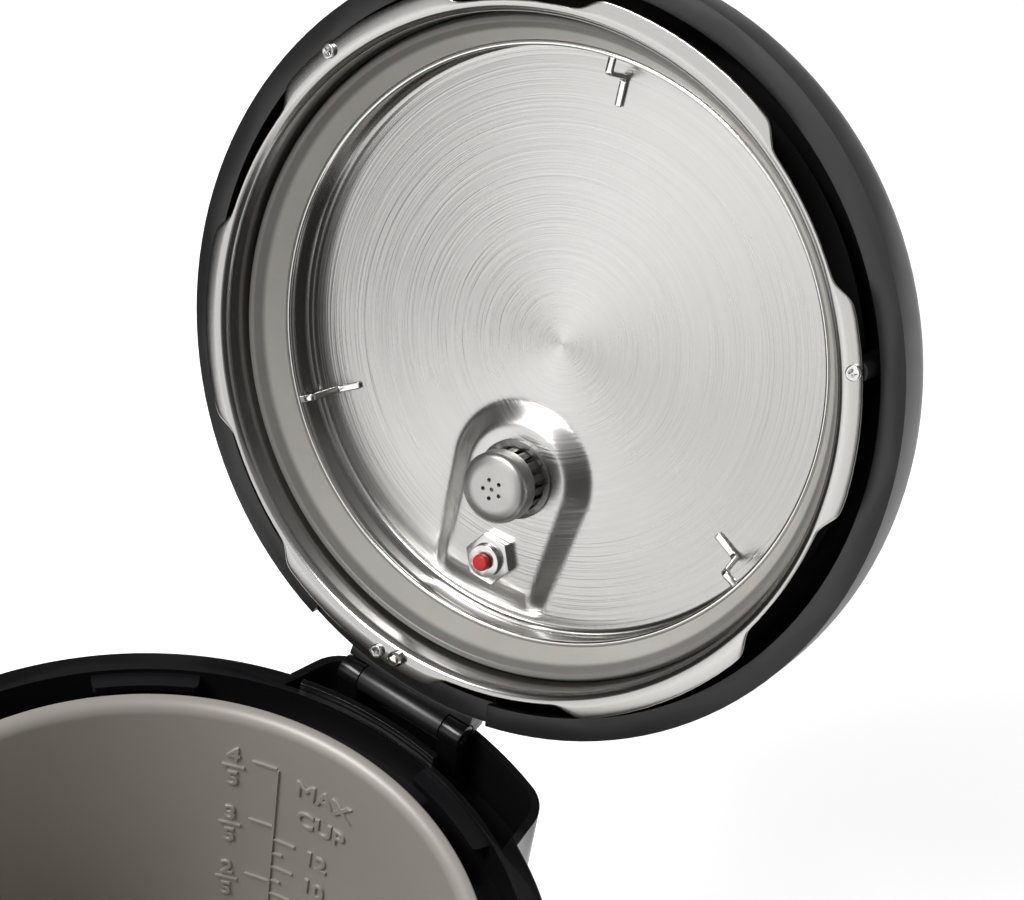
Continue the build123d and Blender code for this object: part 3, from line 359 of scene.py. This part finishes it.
# Each stroke of a sign: whether it lies flat, and its millimetres above the middle of the key.
key_signs = {
    "timer": ((False, 0), (True, -2.4)),
    "plus": ((True, 0), (False, 0)),
    "start": ((True, 1.5), (True, -1.5)),
    "mode": ((True, 1.6), (True, 0), (True, -1.6)),
    "minus": ((True, 0),),
    "cancel": ((False, 0),),
}
for name in key_signs:
    refined(name + "_button", 0.0005, name, "button", key_rubber)
    low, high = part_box(name + "_button")
    middle = (low + high) / 2
    bars = []
    for flat, lift in key_signs[name]:
        bpy.ops.object.select_all(action="DESELECT")
        bpy.ops.mesh.primitive_cube_add(size=1, location=(middle.x, low.y, middle.z + lift * 0.001))
        bar = bpy.context.object
        bar.scale = (sign_length, sign_relief, sign_width) if flat else (sign_width, sign_relief, sign_length)
        bpy.ops.object.mode_set(mode="EDIT")
        bpy.ops.mesh.bevel(offset=0.1, segments=2)
        bpy.ops.object.mode_set(mode="OBJECT")
        bars.append(bar)
    bpy.ops.object.select_all(action="DESELECT")
    for bar in bars:
        bar.select_set(True)
    bpy.context.view_layer.objects.active = bars[0]
    if len(bars) > 1:
        bpy.ops.object.join()
    bars[0].name = name + "_sign"
    dress(bars[0], name, "button", print_white)

# ---------------------------------------------------------------- Condensation cup
# A frosted cup that slides into a holder at the back and catches the water that drips off the open lid.
frosted, shader, spot = material_of("frosted_cup", Transmission_Weight=0.85, IOR=1.49)
frost = spot.noise(500.0)
feed(shader, Base_Color=frost.tint((0.78, 0.81, 0.83, 1), (0.86, 0.88, 0.9, 1)))
feed(shader, Roughness=0.25 + 0.15 * frost, Normal=frost.bump(0.00001))
refined("cup_holder", 0.0008, "base", "dark_plastic", matt_black)
refined("condensation_cup", 0.0006, "cup", "clear_cup", frosted)

# ---------------------------------------------------------------- Collar, hinge box and grips
# A glossy black moulding rings the mouth of the cooker. At the back it widens into an open box where the
# hinge carriage slides, and an arc-shaped grip stands out on either side.
refined("top_collar", 0.0009, "base", "black_plastic", gloss_black)
refined("side_handle_right", 0.0012, "base", "black_plastic", gloss_black)
refined("side_handle_left", 0.0012, "base", "black_plastic", gloss_black)
refined("hinge_carriage", 0.0006, "carriage", "black_plastic", gloss_black)

# ---------------------------------------------------------------- Inner pot
# A pressed aluminium pot with a ceramic coat, a rolled flange to lift it by, and measuring marks raised
# on its wall: fifths on one side of a scale line and cups on the other.


def eased(corners, steps=6):
    """An open outline of (x, y, radius) corners, each inner corner rounded by its own radius."""
    line = []
    for i, (x, y, radius) in enumerate(corners):
        corner = Vector((x, y))
        if radius == 0 or i in (0, len(corners) - 1):
            line.append((x, y))
            continue
        before = (Vector(corners[i - 1][:2]) - corner).normalized()
        after = (Vector(corners[i + 1][:2]) - corner).normalized()
        half = before.angle(after) / 2
        if abs(half - math.pi / 2) < 0.01:
            line.append((x, y))
            continue
        centre = corner + (before + after).normalized() * radius / math.sin(half)
        start = corner + before * radius / math.tan(half) - centre
        end = corner + after * radius / math.tan(half) - centre
        for step in range(steps + 1):
            line.append(tuple(centre + start.slerp(end, step / steps).normalized() * radius))
    return line


def turned(name, section, place=Matrix.Identity(4), sides=192, closed=False):
    """A turned piece: a circle extruded through a section of (radius, height) points in millimetres."""
    points = [(radius / 1000, height / 1000) for radius, height in section]
    radius, height = points[0]
    bpy.ops.object.select_all(action="DESELECT")
    ends = "NOTHING" if closed else "NGON"
    bpy.ops.mesh.primitive_circle_add(vertices=sides, radius=radius, fill_type=ends, location=(0, 0, height))
    piece = bpy.context.object
    piece.name = name
    bpy.ops.object.transform_apply(location=True)
    bpy.ops.object.mode_set(mode="EDIT")
    bpy.ops.mesh.select_mode(type="EDGE")
    bpy.ops.mesh.select_all(action="SELECT")
    for wider, higher in points[1:] + (points[:1] if closed else []):
        bpy.ops.mesh.extrude_edges_move(TRANSFORM_OT_translate={"value": (0, 0, higher - height)})
        grow = wider / radius
        bpy.ops.transform.resize(value=(grow, grow, 1), center_override=(0, 0, higher))
        radius, height = wider, higher
    if not closed:
        bpy.ops.mesh.edge_face_add()
    bpy.ops.mesh.select_all(action="SELECT")
    bpy.ops.mesh.remove_doubles(threshold=1e-6)
    bpy.ops.mesh.normals_make_consistent(inside=False)
    bpy.ops.object.mode_set(mode="OBJECT")
    piece.matrix_world = place
    bpy.ops.object.transform_apply(location=True, rotation=True, scale=True)
    return piece


pot_low, pot_high = (corner * 1000 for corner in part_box("inner_pot"))
rim = pot_high.z
flange = pot_high.x
pot_r = flange - 6.4
floor = pot_low.z + 2.5
pot_section = eased([
    (0.5, floor, 0), (pot_r, floor, 22), (pot_r, rim, 5.0), (flange, rim - 0.2, 0.9), (flange, rim - 2, 0.8),
    (pot_r + 1.5, rim - 2, 0.5), (pot_r + 1.5, pot_low.z, 23), (0.5, pot_low.z, 0),
], 10)
ceramic, shader, spot = material_of("ceramic_coat", Metallic=0.2, Coat_Weight=0.05, Coat_Roughness=0.35)
speck = spot.noise(2600.0, 2.0)
cloud = spot.noise(9.0)
feed(shader, Base_Color=(0.75 * cloud + 0.25 * speck).tint((0.33, 0.305, 0.275, 1), (0.43, 0.405, 0.37, 1)))
feed(shader, Roughness=0.42 + 0.12 * (speck - 0.5), Normal=speck.bump(0.000012))
inner_pot = turned("inner_pot_coated", pot_section, sides=256)
dress(inner_pot, "pot", "pot_coating", ceramic, "inner_pot")


def wrap(piece, along, height):
    """Bends a flat piece onto the pot's wall: X runs round it, Y up it, and Z towards the axis."""
    for vertex in piece.data.vertices:
        turn = (along / 1000 + vertex.co.x) / (pot_r / 1000)
        depth = pot_r / 1000 - 0.0002 - vertex.co.z
        up = (floor + height) / 1000 + vertex.co.y
        vertex.co = (depth * math.sin(turn), depth * math.cos(turn), up)


def wall_mark(name, text, size, spread, along, height):
    """Raised figures on the pot's wall, so many millimetres along it from the back and above its floor."""
    letters = bpy.data.curves.new(name, "FONT")
    letters.body = text
    letters.size = size / 1000
    letters.align_x = "CENTER"
    letters.extrude = 0.0005
    letters.bevel_depth = 0.00035
    letters.bevel_resolution = 2
    letters.space_line = spread / size
    piece = bpy.data.objects.new(name, letters)
    scene.collection.objects.link(piece)
    bpy.ops.object.select_all(action="DESELECT")
    piece.select_set(True)
    bpy.context.view_layer.objects.active = piece
    bpy.ops.object.convert(target="MESH")
    wrap(piece, along, height)
    return piece


marks = []
scale_at = -38.5
for fifths in (4, 3, 2, 1):
    marks.append(wall_mark(f"fifths_{fifths}", f"{fifths}\n5", 10.5, 13.5, scale_at - 18, 34 * fifths - 3))
for cups in (12, 10, 8, 6, 4, 2):
    marks.append(wall_mark(f"cups_{cups}", str(cups), 11.0, 11.0, scale_at + 19, 8.4 * cups - 12.5))
marks.append(wall_mark("cups_word", "MAX\nCUP", 11.5, 16.5, scale_at + 20, 126))
ticks = [(scale_at, 4, 0.9, 131)]
for fifths in (4, 3, 2, 1):
    ticks += [(scale_at - 5.5, 34 * fifths - 1, 10, 0.9), (scale_at - 18, 34 * fifths - 6.5, 9, 0.9)]
for cups in range(1, 13):
    length = 4 if cups % 2 else 9
    ticks.append((scale_at + length / 2 + 0.5, 8.4 * cups - 7, length, 0.9))
for across, base, width, tall in ticks:
    bpy.ops.object.select_all(action="DESELECT")
    bpy.ops.mesh.primitive_grid_add(x_subdivisions=6, y_subdivisions=2, size=1)
    tick = bpy.context.object
    bpy.ops.object.mode_set(mode="EDIT")
    bpy.ops.transform.resize(value=(width / 1000, tall / 1000, 1))
    bpy.ops.transform.translate(value=(0, tall / 2000, -0.0003))
    bpy.ops.mesh.extrude_region_move(TRANSFORM_OT_translate={"value": (0, 0, 0.0011)})
    bpy.ops.mesh.select_all(action="SELECT")
    bpy.ops.mesh.normals_make_consistent(inside=False)
    bpy.ops.object.mode_set(mode="OBJECT")
    wrap(tick, across, base)
    marks.append(tick)
bpy.ops.object.select_all(action="DESELECT")
for mark in marks:
    mark.select_set(True)
bpy.context.view_layer.objects.active = marks[0]
bpy.ops.object.join()
marks[0].name = "pot_scale"
dress(marks[0], "pot", "pot_coating", ceramic, smooth=75)

# ---------------------------------------------------------------- Steel lid
# One deep-drawn stainless pressing: a lugged flange turned out at its mouth, a skirt, a step over the
# sealing ring and a slightly domed disc, spun-brushed in circles, with a platform for the valves.
lid_normal = Vector(joints["steam_knob_turn"]["axis"]).normalized()
lid_across = -Vector(joints["lid_hinge"]["axis"]).normalized()
lid_back = lid_normal.cross(lid_across)
hinge_at = Vector(joints["lid_hinge"]["pos_m"])
hinge_reach = math.hypot(hinge_at.x, hinge_at.y)
lid_at = hinge_at - lid_back * hinge_reach - lid_normal * (hinge_at.z - rim / 1000)
lid_place = Matrix.Translation(lid_at) @ Matrix((lid_across, lid_back, lid_normal)).transposed().to_4x4()

skirt_r = flange + 3.1
wall_r = skirt_r - 10.7
lug_r = skirt_r + 9.8
notch_r = skirt_r + 3.9
shelf_h = 16.2
disc_h = 27.4
disc_rise = 1.8
platform_h = 23.5
lug_low = -11.6
lug_high = -10
sheet = 1.2
vent_turn = math.radians(-3.2)
vent_y = 53.6
float_y = vent_y + 32.9


def smooth(value, spread=0.25):
    """A ramp from 0 to 1 as value goes from -1 to 1, straight in the middle with rounded ends."""
    return 0.5 + (math.hypot(value + 1, spread) - math.hypot(value - 1, spread)) / 4


def in_platform(x, y):
    """How far a place on the disc is lifted towards the platform, from 0 to 1."""
    across = abs(x * math.cos(vent_turn) + y * math.sin(vent_turn))
    along = y * math.cos(vent_turn) - x * math.sin(vent_turn) - vent_y
    share = min(max(along / 42.4, 0.0), 1.0)
    if along < 0:
        depth = 24.5 - math.hypot(across, along)
    else:
        depth = 24.5 - 3.0 * share - across
    side = smooth(depth / (4.0 - 1.2 * share))
    return side * smooth((46.0 - along) / 5.0)


rings = [0.6, 6, 12, 18] + [18 + 1.15 * k for k in range(1, 72)] + [wall_r - 6]
below = [(r, disc_h + disc_rise * (1 - (r / wall_r) ** 2)) for r in rings]
above = [(r, h + sheet) for r, h in reversed(below[::3])]
drawn = eased([
    below[-1] + (0,), (wall_r, disc_h, 3.2), (wall_r, shelf_h, 2.6), (skirt_r, shelf_h, 2.2),
    (skirt_r, lug_low, 3.6), (notch_r + 0.5, lug_low, 0.5), (notch_r + 0.5, lug_high, 0.5),
    (skirt_r + sheet, lug_high, 2.4),
    (skirt_r + sheet, shelf_h + sheet, 3.4), (wall_r + sheet, shelf_h + sheet, 1.4),
    (wall_r + sheet, disc_h + sheet, 4.4), above[0] + (0,),
])
lid_liner = turned("lid_liner_drawn", below[:-1] + drawn + above[1:], sides=540)
for vertex in lid_liner.data.vertices:
    x, y, z = vertex.co * 1000
    radius = math.hypot(x, y)
    if z < -5 and radius > skirt_r + 3.3:
        turn = math.degrees(math.atan2(-x, y)) - 11
        off_centre = abs((turn + 30) % 60 - 30)
        reach = (lug_r - notch_r - 0.5) * smooth((17.6 - off_centre) / 1.5, 0.6) - 0.5
        rough = 0.12 * noise.noise(Vector((x, y, 3)) * 0.9)
        outer = radius + (reach + rough) * min(1.0, (radius - skirt_r - 3.3) / 0.9)
        vertex.co.x *= outer / radius
        vertex.co.y *= outer / radius
    elif z > disc_h - 1 and radius < wall_r - 4:
        lift = in_platform(x, y)
        flat = platform_h + (sheet if z > disc_h + disc_rise * (1 - (radius / wall_r) ** 2) + 0.5 else 0)
        vertex.co.z += lift * (flat / 1000 - vertex.co.z)
lid_liner.matrix_world = lid_place


def round_lid(spot):
    """Across and back in the lid's own frame, and the distance from its axis."""
    sockets = {"Vector": spot, "Location": lid_at, "Rotation": lid_place.to_euler()}
    x, y, z = spot.node("Mapping", {"vector_type": "TEXTURE"}, sockets).parts()
    return x, y, (x * x + y * y) ** 0.5


lid_steel, shader, spot = material_of("lid_steel", Metallic=1.0)
x, y, radius = round_lid(spot)
streak = spot.node("CombineXYZ", None, {0: x / radius * 0.7, 1: y / radius * 0.7, 2: radius * 900.0})
grooves = streak.noise(1.0, 2.0, 0.7)
broad = spot.node("CombineXYZ", None, {0: x / radius * 0.5, 1: y / radius * 0.5, 2: radius * 160.0})
bands = broad.noise(1.0, 3.0, 0.6)
on_disc = radius.ramp(0.1045, 0.1075, 1.0, 0.0)
# Painted highlight: lighter towards the lid's back and front and darker at its sides, like brushed sheen.
painted_sheen = (y * y - x * x) / (radius * radius) * 0.5 + 0.5
# Half of the disc's colour is that painted highlight; the rest is the brushing's grooves and bands.
tone = 0.25 * grooves + 0.25 * bands + 0.5 * painted_sheen * on_disc
feed(shader, Base_Color=tone.tint((0.33, 0.323, 0.313, 1), (0.62, 0.61, 0.597, 1)))
feed(shader, Roughness=on_disc * (0.05 + 0.06 * bands) + 0.17 + 0.06 * tone)
feed(shader, Normal=(grooves * on_disc).bump(0.00011))
dress(lid_liner, "lid", "steel", lid_steel, "lid_liner", smooth=50)

# ---------------------------------------------------------------- Stud and cover screws
# A domed steel stud is riveted through the lug beside the hinge, and three cross-head screws through the
# lugs hold the black cover on.
lid_stud = turned("lid_stud_domed", eased([
    (0.1, -15.8, 0), (2.2, -15.6, 1.4), (3.0, -14, 1.0), (3.0, -10, 0), (0.1, -10, 0),
]), lid_place @ Matrix.Translation((-0.0028, 0.12397, 0)), 48)
dress(lid_stud, "lid", "steel_wire", bright_wire, "lid_stud")
refined("cover_screws", 0.00015, "lid", "zinc_screw", zinc_plate, 40, 2)

# ---------------------------------------------------------------- Sealing ring, wire rack and clips
# A soft silicone ring fills the step of the lid. A ring of bright wire keeps it in, and three bent clips
# of flat wire tie the ring to the disc.
silicone, shader, spot = material_of(
    "clear_silicone", Subsurface_Weight=0.35, Subsurface_Scale=0.004, Specular_IOR_Level=0.55
)
milk = spot.noise(24.0)
outer = round_lid(spot)[2].ramp(0.1128, 0.1142)
pale = milk.tint((0.40, 0.39, 0.365, 1), (0.50, 0.485, 0.45, 1))
feed(shader, Base_Color=outer.tint(pale, milk.tint((0.15, 0.145, 0.135, 1), (0.21, 0.205, 0.195, 1))))
feed(shader, Roughness=0.26 + 0.14 * spot.noise(90.0), Normal=spot.noise(120.0, 2.0).bump(0.0001))
seal_in = wall_r + 0.4
seal_out = skirt_r - 0.2
seal_section = eased([
    (seal_in, 14, 0), (seal_in, 12.2, 1.0), (seal_in + 6.5, 0.6, 1.2), (seal_in + 8.6, 0.6, 0.9),
    (seal_out, 3.6, 1.6), (seal_out, shelf_h, 0.3), (seal_out - 2.4, shelf_h, 0.3),
    (seal_out - 2.4, 5.6, 0.6), (seal_in + 6.4, 5.6, 0.6), (seal_in + 2.6, 13.2, 1.0),
    (seal_in + 2.6, shelf_h, 0.3), (seal_in, shelf_h, 0.3), (seal_in, 14.2, 0),
])
sealing_ring = turned("sealing_ring_soft", seal_section, lid_place, 240, closed=True)
dress(sealing_ring, "lid", "silicone", silicone, "sealing_ring")

rack_wire = 1.0
rack_r = seal_in - rack_wire - 0.05
rack_h = 13.4
bpy.ops.object.select_all(action="DESELECT")
bpy.ops.mesh.primitive_torus_add(
    major_segments=256, minor_segments=16, major_radius=rack_r / 1000, minor_radius=rack_wire / 1000,
    location=(0, 0, rack_h / 1000),
)
seal_rack = bpy.context.object
seal_rack.name = "seal_rack_wire"
bpy.ops.object.transform_apply(location=True)
seal_rack.matrix_world = lid_place
dress(seal_rack, "lid", "steel_wire", bright_wire, "seal_rack", smooth=60)


def solid(name, outline, low, high, place):
    """A flat outline in millimetres, made solid between two heights and put in place."""
    bpy.ops.object.select_all(action="DESELECT")
    bpy.ops.mesh.primitive_circle_add(vertices=len(outline), radius=1, fill_type="NGON", location=(0, 0, 0))
    piece = bpy.context.object
    piece.name = name
    for vertex, (x, y) in zip(piece.data.vertices, outline):
        vertex.co = (x / 1000, y / 1000, low / 1000)
    bpy.ops.object.mode_set(mode="EDIT")
    bpy.ops.mesh.select_all(action="SELECT")
    bpy.ops.mesh.extrude_region_move(TRANSFORM_OT_translate={"value": (0, 0, (high - low) / 1000)})
    bpy.ops.mesh.select_all(action="SELECT")
    bpy.ops.mesh.normals_make_consistent(inside=False)
    bpy.ops.object.mode_set(mode="OBJECT")
    piece.matrix_world = place
    return piece


root = rack_r - rack_wire + 0.3
clip_tip = wall_r - 19.8
clip_inner = eased([
    (root, rack_h - 1, 0), (root - 6.4, rack_h - 1, 2.0), (root - 8.6, disc_h - 1.3, 1.6),
    (clip_tip, disc_h - 0.9, 0),
])
clip_outer = eased([
    (clip_tip, disc_h + 0.1, 0), (root - 6.8, disc_h - 0.1, 1.2), (root - 4.8, rack_h + 0.8, 1.4),
    (root, rack_h + 0.8, 0),
])
upright = Matrix.Rotation(math.pi / 2, 4, "X")
for number, turn in enumerate((-96, 24, 144)):
    place = lid_place @ Matrix.Rotation(math.radians(turn), 4, "Z") @ upright
    clip = solid(f"rack_clip_{number}", clip_inner + clip_outer, -1.3, 1.3, place)
    bevel = clip.modifiers.new("rounded", "BEVEL")
    bevel.width = 0.0004
    bevel.segments = 3
    bevel.angle_limit = math.radians(40)
    dress(clip, "lid", "steel_wire", bright_wire, *(["rack_clips"] if number == 0 else []))

# ---------------------------------------------------------------- Anti-block filter
# A spun cap with six small holes clips over a slotted base round the steam pipe, so that food cannot
# block it. The base's thin flange lies flat on the platform.
vent_place = lid_place @ Matrix.Rotation(vent_turn, 4, "Z") @ Matrix.Translation((0, vent_y / 1000, 0))
dark_steel = metal("dark_steel", (0.22, 0.215, 0.21), 0.3, 700.0, 0.000006)
refined("filter_base", 0.00025, "lid", "steel", dark_steel, 40, 2)
satin_cap, shader, spot = material_of("satin_cap", Metallic=1.0)
fine = spot.noise(800.0, 2.0)
feed(shader, Base_Color=spot.noise(60.0).tint((0.40, 0.395, 0.38, 1), (0.52, 0.51, 0.50, 1)))
feed(shader, Roughness=0.30 + 0.1 * fine, Normal=fine.bump(0.000006))
filter_cap = turned("filter_cap_spun", eased([
    (0.1, 5.5, 0), (9.0, 5.6, 12.0), (13.4, 6.6, 2.6), (13.4, 14.0, 0.3), (12.7, 14.0, 0.3),
    (12.7, 7.6, 1.6), (0.1, 6.8, 0),
], 8), vent_place, 96)
holes = []
for hole in range(6):
    out = 0 if hole == 5 else 0.0036
    turn = math.radians(72 * hole + 20)
    bpy.ops.object.select_all(action="DESELECT")
    bpy.ops.mesh.primitive_cylinder_add(
        vertices=20, radius=0.0008, depth=0.006, location=(out * math.cos(turn), out * math.sin(turn), 0.0062)
    )
    holes.append(bpy.context.object)
bpy.ops.object.select_all(action="DESELECT")
for hole in holes:
    hole.select_set(True)
bpy.context.view_layer.objects.active = holes[0]
bpy.ops.object.join()
bpy.ops.object.transform_apply(location=True)
holes[0].matrix_world = vent_place
cut = filter_cap.modifiers.new("holes", "BOOLEAN")
cut.object = holes[0]
dress(filter_cap, "lid", "steel", satin_cap, "filter_cap")
bpy.data.objects.remove(holes[0])

# ---------------------------------------------------------------- Float valve
# The float's hexagon nut stands on the platform with a round collar on it, and a red silicone gasket sits
# on the end of the float's stem.
float_place = lid_place @ Matrix.Rotation(vent_turn, 4, "Z") @ Matrix.Translation((0, float_y / 1000, 0))
refined("float_nut", 0.0006, "lid", "zinc_screw", zinc_plate, 30, 4)
red_silicone = moulded("red_silicone", (0.50, 0.012, 0.016), 0.36, 700.0, 0.00001)
float_gasket = turned("float_gasket_soft", eased([
    (0.1, 13.5, 0), (3.2, 13.5, 0.9), (3.2, 16.1, 0.3), (2.5, 16.1, 0), (0.1, 16.1, 0),
]), float_place, 64)
dress(float_gasket, "float", "red_silicone", red_silicone, "float_gasket")

# ---------------------------------------------------------------- Cover, handle, knob and arm
# The black moulded cover hides the steel lid from outside. An arched handle and the steam knob stand on
# it, and a broad arm at its back carries the hinge.
cover_black = moulded("cover_black", (0.010, 0.0095, 0.010), 0.36, 1300.0, 0.000012)
refined("lid_cover", 0.0008, "lid", "black_plastic", cover_black)
refined("lid_handle", 0.0010, "lid", "black_plastic", gloss_black)
refined("steam_knob", 0.0008, "knob", "dark_plastic", matt_black)
refined("hinge_arm", 0.0007, "lid", "black_plastic", cover_black)
